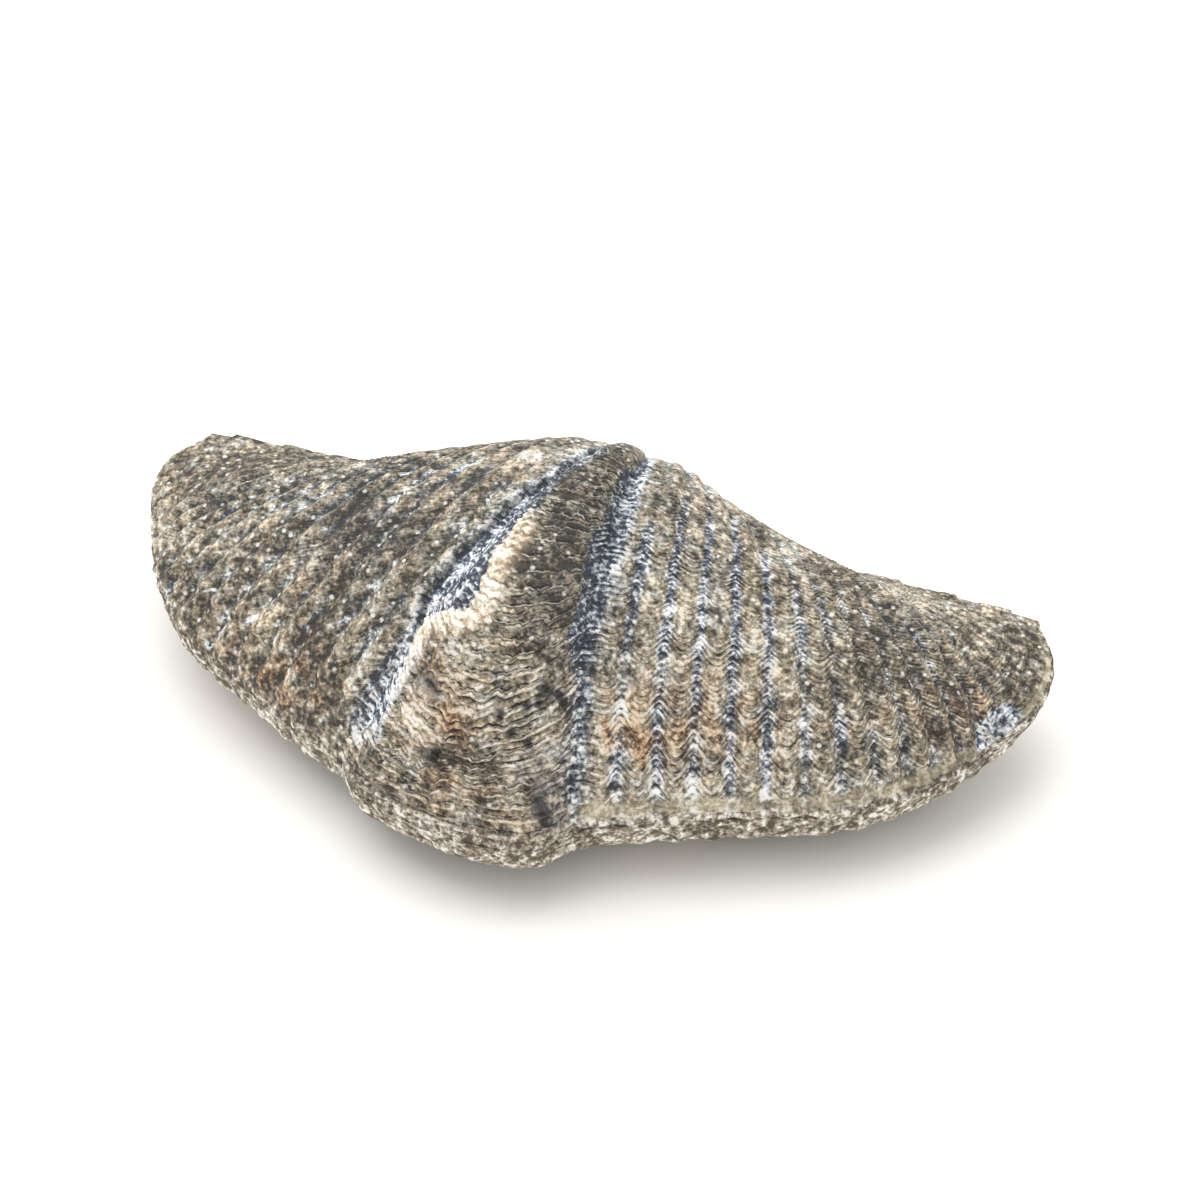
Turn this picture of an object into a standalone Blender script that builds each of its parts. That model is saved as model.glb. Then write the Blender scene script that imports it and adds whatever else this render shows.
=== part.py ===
# A fossil brachiopod of the spirifer kind: two ribbed valves closed on each other and
# turned to stone in one piece. Metres, +Z up. The shell lies on its lower (pedicle) valve,
# its hinge line along X and its front margin toward -Y.
#
# The shell is drawn in its own frame first: X along the hinge line, Y forward from the
# hinge to the front margin, Z from the lower valve to the upper one, with the middle of
# the hinge line at the origin. Each valve is the track of its growing margin: the margin
# shrinks toward the beak while it turns about the hinge, which is how a valve coils.

import bpy
import bmesh
import numpy as np

NAME = "brachiopod_fossil"

# The margin where the valves meet: how far it lies from the middle of the hinge line, at
# angles from straight ahead. The left wing and the right wing aren't quite alike.
MARGIN_ANGLE = np.radians([-90, -84, -70, -55, -40, -27, 8, 20, 35, 50, 65, 82, 90])
MARGIN_REACH = 0.001 * np.array([22.1, 24.1, 24.0, 23.4, 21.8, 21.4,
                                 22.3, 21.2, 21.6, 23.6, 24.8, 25.2, 23.4])
TONGUE_REACH = 0.0010          # how far the fold juts out past the flanks at the margin
WING_DROOP = (1.0, 2.05)       # left and right: drop below the hinge's middle, per metre of x * x

# Growth of the upper (brachial) valve
UPPER_COIL = 1.40              # turn about the hinge, radians at a growth of 1/e
UPPER_COIL_POWER = 0.85        # below 1 the umbo is coiled less than the outer shell
WING_COIL_LOSS = 0.22          # the wings turn this share less than the middle
MOST_COIL = 2.2                # radians, where the beak stops coiling over the hinge
WIDTH_POWER = 0.77             # below 1 the young shell is relatively wider

# Growth of the lower (pedicle) valve, whose beak stands behind and below the hinge line
LOWER_BEAK_BACK = 0.0026
LOWER_BEAK_DOWN = 0.0040
LOWER_COIL = 0.34
LOWER_FLANK_GAIN = 1.4         # its flanks turn more than its middle, so that it is broad below
LOWER_MOST_COIL = 0.75
LOWER_COIL_POWER = 0.85
RIM_HEIGHT = 0.0014            # the lower valve's edge, which shows under the margin
RIM_GROWTH = 0.015             # share of its growth that the edge takes
NOTCH_DEPTH = 0.0004           # of the filled notch in the middle of the hinge area

# The fold on the upper valve and the sulcus under it, between two grooves. Edges are
# angles from straight ahead at the margin, and how they swing over toward the beak.
FOLD_LEFT = (-20.0, 26.0, 30.0)     # degrees, then degrees per growth and its square
FOLD_RIGHT = (14.2, -9.0, 20.0)
FOLD_LEAST_WIDTH = 7.0              # degrees, at the beak
FOLD_HEIGHT = 0.0022
FOLD_FALL = 0.8                     # share of that height lost at the front margin
GROOVE_DEPTH = 0.0007               # of the two grooves beside the fold
GROOVE_WIDTH = 0.05                 # share of the flank's angle
SULCUS_DEPTH = 0.0022
SULCUS_GROWTH = (0.1, 0.65, 1.0)    # growth where the sulcus starts, is full, and has faded

# Ribs, counted from the fold's grooves out to the wings
RIBS_TO_HINGE = 21.5                # ribs that the flank would hold if none faded
RIBS_SHOWN = 14
RIB_STEPS = 4                       # points across one rib
RIB_DEPTH = 0.00028                 # half of crest to groove, at the front margin
RIB_SPREAD = (1.5, 1.3)             # bunching of ribs toward the hinge: grown, and young
RIB_FADE = 0.12                     # share of the flank over which the last ribs fade
RIBS_TO_EDGE = 0.9                  # growth from which the lower valve's ribs are lower
RIB_LOSS_AT_EDGE = 0.6

# Ledges where growth stopped for a while: place from beak to margin, and height
LEDGES = ((0.605, 0.00012), (0.76, 0.00018), (0.92, 0.00025))
LEDGE_GROWTH = 0.12                 # growth over which a ledge rises to its edge

# Damage: a patch broken out of the fold's left slope, and a chip in the right wing
BROKEN_ACROSS = (0.0, 0.34)
BROKEN_GROWTH = (0.64, 0.80)
BROKEN_DEPTH = 0.0006
BROKEN_EDGE = (0.06, 0.05)          # how soft the patch's edges are, across and in growth
CHIP_ACROSS = 1.57
CHIP_GROWTH = 0.97
CHIP_SIZE = (0.05, 0.08)            # across and in growth
CHIP_DEPTH = 0.0009

# How it lies
PITCH = np.radians(7.5)             # the front margin is lower than the hinge
WORN_FLAT = 0.0006                  # how much of the lowest part is worn flat

# Grid
ROWS = 16                           # from the beaks to the margin, the last one for the rim
ROW_POWER = 1.25
FOLD_STEPS = 12
WING_STEPS = 5

STONE_COLOR = (0.235, 0.200, 0.150, 1.0)
STONE_ROUGHNESS = 0.75


def smooth_step(x):
    """Rises from 0 to 1 as x does, level at both ends."""
    x = np.clip(x, 0.0, 1.0)
    return x * x * (3.0 - 2.0 * x)


def smooth_curve(at, knots, values):
    """Cubic curve through the values at the knots, its slope the mean of its neighbours'."""
    slopes = np.gradient(values, knots)
    i = np.clip(np.searchsorted(knots, at) - 1, 0, len(knots) - 2)
    gap = knots[i + 1] - knots[i]
    t = np.clip((at - knots[i]) / gap, 0.0, 1.0)
    rise = smooth_step(t)
    start = t * (1.0 - t) ** 2 * gap * slopes[i]
    end = t ** 2 * (1.0 - t) * gap * slopes[i + 1]
    return values[i] * (1.0 - rise) + values[i + 1] * rise + start - end


def flank(across):
    """How far out on its flank a place is: 0 at the fold's groove, 1 at the hinge line."""
    return np.clip(np.maximum(-across, across - 1.0), 0.0, 1.0)


def fold_arch(across):
    """1 along the fold's crest, 0 at its grooves and on the flanks."""
    return np.clip(1.0 - (2.0 * across - 1.0) ** 2, 0.0, 1.0)


def rib_angle(across, growth):
    """Angle from straight ahead of the rib line at across: -1 left end of the hinge line,
    0 left groove, 1 right groove, 2 right end of the hinge line."""
    young = 1.0 - growth
    left = FOLD_LEFT[0] + FOLD_LEFT[1] * young + FOLD_LEFT[2] * young ** 2
    right = FOLD_RIGHT[0] + FOLD_RIGHT[1] * young + FOLD_RIGHT[2] * young ** 2
    width = 0.5 * (right - left + np.hypot(right - left, 2.0 * FOLD_LEAST_WIDTH))
    left = right - width
    out = 1.0 - (1.0 - flank(across)) ** (RIB_SPREAD[0] + RIB_SPREAD[1] * young)
    on_left = left - (90.0 + left) * out
    on_fold = left + (right - left) * across
    on_right = right + (90.0 - right) * out
    return np.radians(np.where(across < 0.0, on_left, np.where(across > 1.0, on_right, on_fold)))


def margin_point(across, growth):
    """The full-grown margin's x and y along a rib line."""
    angle = rib_angle(across, growth)
    reach = smooth_curve(angle, MARGIN_ANGLE, MARGIN_REACH)
    reach = reach + TONGUE_REACH * smooth_step(1.6 * fold_arch(across))
    return reach * np.sin(angle), reach * np.cos(angle), angle


def coil(growth, rate, power):
    """Turn about the hinge: rate times a power of minus the logarithm of growth."""
    age = -np.log(np.maximum(growth, 1e-6))
    return rate * np.maximum(age, 0.0) ** power


def upper_surface(across, growth):
    """The margin shrunk by growth and turned up about the hinge line by its coil."""
    x, y, angle = margin_point(across, growth)
    turn = coil(growth, UPPER_COIL, UPPER_COIL_POWER) * (1.0 - WING_COIL_LOSS * np.sin(angle) ** 2)
    turn = MOST_COIL * np.tanh(turn / MOST_COIL)
    lift = FOLD_HEIGHT * fold_arch(across) * (1.0 - FOLD_FALL * smooth_step((growth - 0.6) / 0.4))
    return np.stack([growth ** WIDTH_POWER * x,
                     growth * (y * np.cos(turn) - lift * np.sin(turn)),
                     growth * (y * np.sin(turn) + lift * np.cos(turn))], axis=-1)


def lower_surface(across, growth):
    """The margin shrunk by growth toward the lower beak and turned down about it."""
    x, y, angle = margin_point(across, growth)
    lift = FOLD_HEIGHT * fold_arch(across) * (1.0 - FOLD_FALL)
    turn = coil(growth, LOWER_COIL, LOWER_COIL_POWER) * (1.0 + LOWER_FLANK_GAIN * np.sin(angle) ** 2)
    turn = LOWER_MOST_COIL * np.tanh(turn / LOWER_MOST_COIL)
    rim = RIM_HEIGHT * (1.0 - (angle / np.radians(90)) ** 4)
    rim = rim * smooth_step((1.0 - growth) / RIM_GROWTH)
    start, full, faded = SULCUS_GROWTH
    sulcus = SULCUS_DEPTH * fold_arch(across) * smooth_step((growth - start) / (full - start))
    sulcus = sulcus * smooth_step((faded - growth) / (faded - full))
    ahead = y + LOWER_BEAK_BACK
    above = lift + LOWER_BEAK_DOWN - rim + sulcus
    return np.stack([growth ** WIDTH_POWER * x,
                     growth * (ahead * np.cos(turn) + above * np.sin(turn)) - LOWER_BEAK_BACK,
                     growth * (above * np.cos(turn) - ahead * np.sin(turn)) - LOWER_BEAK_DOWN],
                    axis=-1)


def ribs(across, growth):
    """Rib relief: a wave of one rib's spacing, which fades on the wings and at the beak."""
    out = flank(across)
    fade = smooth_step((RIBS_SHOWN / RIBS_TO_HINGE - out) / RIB_FADE)
    fade = fade * smooth_step(out * RIBS_TO_HINGE)
    return -RIB_DEPTH * fade * growth ** 0.8 * np.cos(2.0 * np.pi * RIBS_TO_HINGE * out)


def ledges(growth):
    """Each ledge rises slowly toward its edge and drops at once behind it."""
    height = np.zeros_like(growth)
    for place, drop in LEDGES:
        rise = np.clip(1.0 - (place - growth) / LEDGE_GROWTH, 0.0, 1.0)
        height = height + drop * rise * (growth <= place)
    return height


def patch(value, ends, edge):
    """1 between the two ends and 0 outside them, with soft edges."""
    return smooth_step((value - ends[0]) / edge) * smooth_step((ends[1] - value) / edge)


def upper_relief(across, growth):
    """Height that ribs, ledges, grooves and damage add to the upper valve."""
    groove = np.exp(-(np.minimum(np.abs(across), np.abs(across - 1.0)) / GROOVE_WIDTH) ** 2)
    inside = patch(across, BROKEN_ACROSS, BROKEN_EDGE[0])
    inside = inside * patch(growth, BROKEN_GROWTH, BROKEN_EDGE[1])
    chip = np.exp(-((across - CHIP_ACROSS) / CHIP_SIZE[0]) ** 2
                  - ((growth - CHIP_GROWTH) / CHIP_SIZE[1]) ** 2)
    return (ribs(across, growth) + ledges(growth) - GROOVE_DEPTH * groove * growth
            - BROKEN_DEPTH * inside - CHIP_DEPTH * chip)


def lower_relief(across, growth):
    """Height that ribs and ledges add to the lower valve; the ribs fade at its edge."""
    edge = smooth_step((growth - RIBS_TO_EDGE) / (1.0 - RIM_GROWTH - RIBS_TO_EDGE))
    return -ribs(across, growth) * (1.0 - RIB_LOSS_AT_EDGE * edge) + ledges(growth)


def raise_along_normal(points, height, side):
    """Move a grid of points out along its own normals; the grid's hinge edges stay."""
    along = np.gradient(points, axis=0)
    sideways = np.gradient(points, axis=1)
    normal = np.cross(sideways, along) * side
    normal /= np.maximum(np.linalg.norm(normal, axis=-1, keepdims=True), 1e-12)
    height = height.copy()
    height[:, 0] = 0.0
    height[:, -1] = 0.0
    return points + normal * height[..., None]


def grid_across():
    """Places across the shell: the same few on each rib, then the fold's steps."""
    rib_lines = np.arange(RIB_STEPS * RIBS_SHOWN + 1) / (RIB_STEPS * RIBS_TO_HINGE)
    wing = np.linspace(rib_lines[-1], 1.0, WING_STEPS + 1)[1:]
    out = np.concatenate([rib_lines, wing])
    fold = np.linspace(0.0, 1.0, FOLD_STEPS + 1)[1:-1]
    return np.concatenate([-out[::-1], fold, 1.0 + out])


def hinge_area(upper, lower):
    """Points of the interarea between the hinge line and the lower beak, row by row from
    the beak. A row of the lower valve's hinge edges is joined by a straight line, with
    points under those of the upper valve's hinge line."""
    rows = []
    for j in range(1, ROWS):
        left = [upper[i, 0, 0] for i in range(j - 1, 0, -1)]
        right = [upper[i, -1, 0] for i in range(1, j)]
        across = np.array(left + [0.0] + right) if j > 1 else np.zeros(1)
        line = np.repeat(lower[j, 0:1], len(across), axis=0)
        line[:, 0] = across
        line[j - 1, 1] += NOTCH_DEPTH * min(1.0, (j - 1) / 3.0)
        rows.append(line)
    return rows


def grid_faces(index):
    """Quads between the rows of a grid of vertex numbers."""
    a, b = index[:-1, :-1].ravel(), index[:-1, 1:].ravel()
    c, d = index[1:, 1:].ravel(), index[1:, :-1].ravel()
    return np.stack([a, b, c, d], axis=1).tolist()


def shell_mesh():
    """Vertices and faces of the closed shell in its own frame."""
    steps = (np.arange(ROWS) / (ROWS - 1.0)) ** ROW_POWER
    across, growth = np.meshgrid(grid_across(), np.insert(steps, -1, 1.0 - RIM_GROWTH))
    upper = raise_along_normal(upper_surface(across, growth), upper_relief(across, growth), -1.0)
    lower = raise_along_normal(lower_surface(across, growth), lower_relief(across, growth), 1.0)
    area = hinge_area(upper, lower)
    columns = across.shape[1]

    points = [upper[1:].reshape(-1, 3), lower[1:ROWS].reshape(-1, 3), *area]
    points += [np.zeros((1, 3)), np.array([[0.0, -LOWER_BEAK_BACK, -LOWER_BEAK_DOWN]])]
    points = np.concatenate(points)
    upper_beak, lower_beak = len(points) - 2, len(points) - 1

    up = np.arange(ROWS * columns).reshape(ROWS, columns)
    low = up[-1, -1] + 1 + np.arange((ROWS - 1) * columns).reshape(ROWS - 1, columns)
    low = np.vstack([low, up[-1]])
    faces = grid_faces(up) + grid_faces(low)
    for i in range(columns - 1):
        faces.append([upper_beak, int(up[0, i]), int(up[0, i + 1])])
        faces.append([lower_beak, int(low[0, i]), int(low[0, i + 1])])

    next_vertex = int(low[-2, -1]) + 1
    rows = []
    for j in range(1, ROWS):
        inner = list(range(next_vertex, next_vertex + 2 * j - 1))
        next_vertex += len(inner)
        rows.append([int(low[j - 1, 0])] + inner + [int(low[j - 1, -1])])
    rows.append([int(v) for v in up[::-1, 0]] + [upper_beak] + [int(v) for v in up[:, -1]])
    faces.append([lower_beak, rows[0][0], rows[0][1]])
    faces.append([lower_beak, rows[0][1], rows[0][2]])
    for near, far in zip(rows[:-1], rows[1:]):
        faces.append([near[0], far[0], far[1]])
        faces.append([near[-1], far[-2], far[-1]])
        for q in range(len(near) - 1):
            faces.append([near[q], near[q + 1], far[q + 2], far[q + 1]])
    return points, faces


def laid_down(points):
    """Droop the wings, tip the shell forward and set its worn underside on Z = 0."""
    x, ahead, up = points.T
    up = up - np.where(x < 0.0, WING_DROOP[0], WING_DROOP[1]) * x * x
    y = -(ahead * np.cos(PITCH) + up * np.sin(PITCH))
    z = -ahead * np.sin(PITCH) + up * np.cos(PITCH)
    z = np.maximum(z - z.min() - WORN_FLAT, 0.0)
    x = x - (x.min() + x.max()) / 2.0
    y = y - (y.min() + y.max()) / 2.0
    return np.stack([x, y, z], axis=1)


def stone():
    """Grey-brown calcite."""
    material = bpy.data.materials.new("fossil_stone")
    material.use_nodes = True
    shader = material.node_tree.nodes["Principled BSDF"]
    shader.inputs["Base Color"].default_value = STONE_COLOR
    shader.inputs["Roughness"].default_value = STONE_ROUGHNESS
    return material


def build():
    for old in list(bpy.data.objects):
        bpy.data.objects.remove(old, do_unlink=True)
    points, faces = shell_mesh()
    mesh = bpy.data.meshes.new(NAME)
    mesh.from_pydata(laid_down(points).tolist(), [], faces)
    shell = bpy.data.objects.new(NAME, mesh)
    bpy.context.scene.collection.objects.link(shell)
    mesh.materials.append(stone())
    shape = bmesh.new()
    shape.from_mesh(mesh)
    bmesh.ops.triangulate(shape, faces=shape.faces[:])
    bmesh.ops.recalc_face_normals(shape, faces=shape.faces[:])
    shape.to_mesh(mesh)
    shape.free()
    mesh.shade_smooth()


build()
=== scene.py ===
# %% [markdown]
# # A brachiopod fossil, two valves turned to stone
# A brachiopod is a lamp shell. This one is a spirifer: two valves that meet along a straight
# hinge, with ribs, a fold down the middle of the upper valve and fine growth lamellae, one
# behind another like roof tiles. The shell is calcite and mud has hardened in its grooves.
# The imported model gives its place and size. The two valves are modelled again over it, much
# finer, from the same growth formulas.

import bpy
import numpy as np
from mathutils import Matrix


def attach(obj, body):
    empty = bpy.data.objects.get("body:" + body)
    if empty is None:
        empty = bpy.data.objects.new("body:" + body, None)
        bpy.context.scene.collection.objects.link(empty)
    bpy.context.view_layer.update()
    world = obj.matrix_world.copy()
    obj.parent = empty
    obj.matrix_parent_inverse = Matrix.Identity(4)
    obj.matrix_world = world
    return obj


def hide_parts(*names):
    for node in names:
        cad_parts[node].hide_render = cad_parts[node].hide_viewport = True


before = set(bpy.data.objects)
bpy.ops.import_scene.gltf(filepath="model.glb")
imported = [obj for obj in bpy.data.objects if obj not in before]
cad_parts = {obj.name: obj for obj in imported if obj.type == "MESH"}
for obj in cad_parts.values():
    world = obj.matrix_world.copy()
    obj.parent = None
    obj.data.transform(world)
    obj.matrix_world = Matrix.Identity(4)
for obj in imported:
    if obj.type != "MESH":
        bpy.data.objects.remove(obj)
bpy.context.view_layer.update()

MM = 0.001

# %% [markdown]
# ## Growth
# A shell grows only at its margin, and its coil keeps one shape while it gets larger. So a
# place on a valve needs two numbers: across, which runs from one end of the hinge to the other
# (-1 to 0 the left flank, 0 to 1 the fold, 1 to 2 the right flank), and growth, the size
# the shell had when it laid that place down, 0 at the beak and 1 at the margin. Sculpting
# could give the same form, but a growth formula also gives every rib and lamella its course.

# %% The margin of the full-grown shell
MARGIN_ANGLE = np.radians([-90, -84, -70, -55, -40, -27, 8, 20, 35, 50, 65, 82, 90])
MARGIN_REACH = MM * np.array([22.9, 24.1, 24.0, 23.4, 21.8, 21.4,
                              22.3, 21.2, 21.6, 23.6, 24.8, 25.2, 23.9])
TONGUE_REACH = 1.0 * MM
FOLD_LEFT = (-20.0, 26.0, 30.0)     # degrees at the margin, and how the edge swings when young
FOLD_RIGHT = (14.2, -9.0, 20.0)
FOLD_LEAST_WIDTH = 7.0
ROUNDED_ENDS = 0.025                # share of the reach lost at the two ends of the hinge
RIB_SPREAD = (1.5, 1.3)


def smooth_step(x):
    """x * x * (3 - 2 x) with x held between 0 and 1: level at both ends."""
    x = np.clip(x, 0.0, 1.0)
    return x * x * (3.0 - 2.0 * x)


def smooth_curve(at, knots, values):
    """Cubic through the values, whose slope at a knot is the mean of its neighbours'."""
    slopes = np.gradient(values, knots)
    i = np.clip(np.searchsorted(knots, at) - 1, 0, len(knots) - 2)
    gap = knots[i + 1] - knots[i]
    t = np.clip((at - knots[i]) / gap, 0.0, 1.0)
    rise = smooth_step(t)
    bend = t * (1.0 - t) * gap * ((1.0 - t) * slopes[i] - t * slopes[i + 1])
    return values[i] * (1.0 - rise) + values[i + 1] * rise + bend


def flank(across):
    """0 at the fold's two grooves and 1 at the hinge."""
    return np.clip(np.maximum(-across, across - 1.0), 0.0, 1.0)


def fold_arch(across):
    """1 - (2 across - 1) squared: a parabola over the fold, 0 on the flanks."""
    return np.clip(1.0 - (2.0 * across - 1.0) ** 2, 0.0, 1.0)


def rib_angle(across, growth):
    """Angle from straight ahead, spread by a power so that ribs crowd toward the hinge."""
    young = 1.0 - growth
    left, right = (a + b * young + c * young ** 2 for a, b, c in (FOLD_LEFT, FOLD_RIGHT))
    width = 0.5 * (right - left + np.hypot(right - left, 2.0 * FOLD_LEAST_WIDTH))
    left = right - width
    out = 1.0 - (1.0 - flank(across)) ** (RIB_SPREAD[0] + RIB_SPREAD[1] * young)
    on_left = left - (90.0 + left) * out
    on_right = right + (90.0 - right) * out
    on_fold = left + width * across
    return np.radians(np.where(across < 0, on_left, np.where(across > 1, on_right, on_fold)))


def margin_point(across, growth):
    """Reach from the hinge's middle times the sine and cosine of the rib's angle."""
    angle = rib_angle(across, growth)
    reach = smooth_curve(angle, MARGIN_ANGLE, MARGIN_REACH)
    reach = reach + TONGUE_REACH * smooth_step(1.6 * fold_arch(across))
    reach = reach * (1.0 - ROUNDED_ENDS * smooth_step((np.abs(np.degrees(angle)) - 84.0) / 6.0))
    return reach * np.sin(angle), reach * np.cos(angle), angle


print("ribs start from a fold", round(FOLD_RIGHT[0] - FOLD_LEFT[0]), "degrees wide")

# %% [markdown]
# ## The two valves
# Each valve is its margin, shrunk by growth and turned about the hinge. The turn grows with
# the logarithm of growth, which makes the spiral that all such shells have. The beak of the
# lower valve stands behind and below the hinge line, so a flat triangle of shell, the
# interarea, is left between them at the back.

# %% Smooth surfaces of the valves
WIDTH_POWER = 0.77
FOLD_HEIGHT, FOLD_FALL = 2.2 * MM, 0.8
SULCUS_DEPTH, SULCUS_GROWTH = 2.2 * MM, (0.1, 0.65, 1.0)
BEAK_BACK, BEAK_DOWN = 2.6 * MM, 4.0 * MM
RIM_HEIGHT, RIM_GROWTH = 1.4 * MM, 0.015


def coil(growth, rate, power, most):
    """rate * (-log growth) ** power, held under most by a hyperbolic tangent."""
    age = np.maximum(-np.log(np.maximum(growth, 1e-6)), 0.0)
    return most * np.tanh(rate * age ** power / most)


def upper_surface(across, growth):
    """Margin point times growth, turned up about the hinge line, plus the fold's lift."""
    x, y, angle = margin_point(across, growth)
    turn = coil(growth, 1.40 * (1.0 - 0.22 * np.sin(angle) ** 2), 0.85, 2.2)
    lift = FOLD_HEIGHT * fold_arch(across) * (1 - FOLD_FALL * smooth_step((growth - 0.6) / 0.4))
    lift = lift * (0.35 + 0.65 * smooth_step((growth - 0.2) / 0.5))
    return np.stack([growth ** WIDTH_POWER * x,
                     growth * (y * np.cos(turn) - lift * np.sin(turn)),
                     growth * (y * np.sin(turn) + lift * np.cos(turn))], axis=-1)


def lower_surface(across, growth):
    """Margin point shrunk toward the lower beak and turned down about it, below a rim; the
    sulcus is a parabola across, from its first growth to full, and fading to the margin."""
    x, y, angle = margin_point(across, growth)
    lift = FOLD_HEIGHT * fold_arch(across) * (1 - FOLD_FALL)
    turn = coil(growth, 0.34 * (1.0 + 1.4 * np.sin(angle) ** 2), 0.85, 0.75)
    rim = RIM_HEIGHT * (1 - (2 * angle / np.pi) ** 4) * smooth_step((1.0 - growth) / RIM_GROWTH)
    start, full, faded = SULCUS_GROWTH
    sulcus = SULCUS_DEPTH * fold_arch(across) * smooth_step((growth - start) / (full - start))
    sulcus = sulcus * smooth_step((faded - growth) / (faded - full))
    ahead = y + BEAK_BACK
    above = lift + BEAK_DOWN - rim + sulcus
    return np.stack([growth ** WIDTH_POWER * x,
                     growth * (ahead * np.cos(turn) + above * np.sin(turn)) - BEAK_BACK,
                     growth * (above * np.cos(turn) - ahead * np.sin(turn)) - BEAK_DOWN], axis=-1)


thickness = upper_surface(0.5, 0.6)[2] - lower_surface(0.5, 0.6)[2]
print("thickness under the fold, mm:", round(1000 * float(thickness), 1))


# %% [markdown]
# ## A grid that follows the lamellae
# Rows of the grid run along the growth lines and columns along the ribs, so a crisp edge needs
# no more points than a soft one. A lamella is 0.2 to 0.5 mm long, and on the upper valve three
# rows shape it: just behind the last edge, its back, and its own edge. On the ribs the rows
# bend forward over each crest, because the living margin was frilled.

# %% Rows and columns
RIBS_TO_HINGE, RIBS_SHOWN, RIB_FADE = 21.5, 14, 0.12
WIDE_RIBS = 6                       # on each flank, next to the fold
LAMELLAE = 104                      # that a growth from 0 to 1 would hold
FINE_LAMELLAE = 65                  # the last of them, which have rows of their own
YOUNG = 1.0 - FINE_LAMELLAE / LAMELLAE    # before this growth the rows are sparse
FRILL = 0.013                       # growth by which a row runs ahead on a rib's crest


def grid_across(near_steps, far_steps, fold_steps, wing_steps):
    """The same few places on each rib, finer on the wide ribs next to the fold."""
    far_ribs = RIBS_SHOWN - WIDE_RIBS
    ribs = np.concatenate([np.arange(WIDE_RIBS * near_steps) / near_steps,
                           WIDE_RIBS + np.arange(far_ribs * far_steps + 1) / far_steps])
    wing = np.linspace(RIBS_SHOWN / RIBS_TO_HINGE, 1.0, wing_steps + 1)[1:]
    out = np.concatenate([ribs / RIBS_TO_HINGE, wing])
    fold = np.linspace(0.0, 1.0, fold_steps + 1)[1:-1]
    return np.concatenate([-out[::-1], fold, 1.0 + out])


def grid_lamella(young_rows, places):
    """Lamella counts of the rows: sparse ones from the beak, then the places in each."""
    young = YOUNG * (np.arange(1, young_rows + 1) / young_rows) ** 1.1 * LAMELLAE
    grown = YOUNG * LAMELLAE + np.add.outer(np.arange(FINE_LAMELLAE), places).ravel()
    return np.concatenate([young[:-1], grown, [LAMELLAE]])


def rib_fade(across):
    """1 on the ribbed part of a flank, 0 on the fold and out on the wings."""
    out = flank(across)
    fade = smooth_step((RIBS_SHOWN / RIBS_TO_HINGE - out) / RIB_FADE)
    return fade * smooth_step(out * RIBS_TO_HINGE)


def crest(across):
    """Size of the sine of half a rib's turn: 0 in a groove and 1 on a crest."""
    return np.abs(np.sin(np.pi * RIBS_TO_HINGE * flank(across)))


print(RIBS_SHOWN, "ribs a side,", FINE_LAMELLAE, "lamellae with rows of their own")


# %% [markdown]
# ## Noise
# Stone is uneven at every size. Two kinds of noise are enough: values that blend between the
# corners of a lattice, for lumps and stains, and distances to scattered points, for grains and
# crystals. Both come from a fixed shuffle of whole numbers, so each run gives the same stone.

# %% Noise worked out on whole arrays


def shuffle(cell, seed):
    """Multiply and mix the bits of three whole numbers to one value from 0 to 1."""
    i, j, k = np.moveaxis(cell.astype(np.int64), -1, 0)
    n = (i * 73856093) ^ (j * 19349663) ^ (k * 83492791) ^ (seed * 2654435761)
    n = (n ^ (n >> 13)) * 1274126177 & 0xFFFFFFFF
    n = (n ^ (n >> 16)) * 668265263 & 0xFFFFFFFF
    return ((n ^ (n >> 15)) & 0xFFFFFF) / 0xFFFFFF


def lumps(places, size, seed=0):
    """-1 to 1: a random value at each corner of a lattice of that size, smoothly blended."""
    at = places / size
    low = np.floor(at)
    blend = smooth_step(at - low)
    total = 0.0
    for corner in np.ndindex(2, 2, 2):
        corner = np.array(corner)
        weight = np.prod(np.where(corner == 1, blend, 1.0 - blend), axis=-1)
        total = total + weight * shuffle(low + corner, seed)
    return 2.0 * total - 1.0


def rough(places, size, seed=0, layers=3):
    """Lumps plus half as high lumps of half the size, and so on."""
    return sum(lumps(places, size / 2 ** n, seed + n) / 2 ** n for n in range(layers)) / 1.5


def grains(places, size, seed=0):
    """Distance to the nearest of the points scattered one to a cell, in cells."""
    at = places / size
    low = np.floor(at)
    nearest = np.full(at.shape[:-1], 9.0)
    for step in np.ndindex(3, 3, 3):
        cell = low + np.array(step) - 1
        point = cell + np.stack([shuffle(cell, seed + s) for s in (11, 12, 13)], axis=-1)
        nearest = np.minimum(nearest, np.linalg.norm(point - at, axis=-1))
    return nearest


trial = lumps(np.linspace([0.0, 0.0, 0.0], [50.0, 30.0, 10.0], 1000), 1.0)
print("lumps go from", round(float(trial.min()), 2), "to", round(float(trial.max()), 2))


# %% [markdown]
# ## Marks in plan
# Damage and stains are placed in plan, in millimetres as seen from above: a spot has a
# strength, a middle, a size and a turn, and a break has an outline of a few corners.

# %% Spots and outlines


def spot(plan, x, y, wide, deep, turn=0.0):
    """1 in the middle of an ellipse, falling off as a bell curve; sizes are half widths."""
    c, s = np.cos(np.radians(turn)), np.sin(np.radians(turn))
    dx, dy = plan[..., 0] - x, plan[..., 1] - y
    return np.exp(-((dx * c + dy * s) / wide) ** 2 - ((dy * c - dx * s) / deep) ** 2)


def spots(plan, table):
    """The sum of the spots in a table, each times the strength that its row starts with."""
    return sum(strength * spot(plan, *place) for strength, *place in table)


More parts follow.
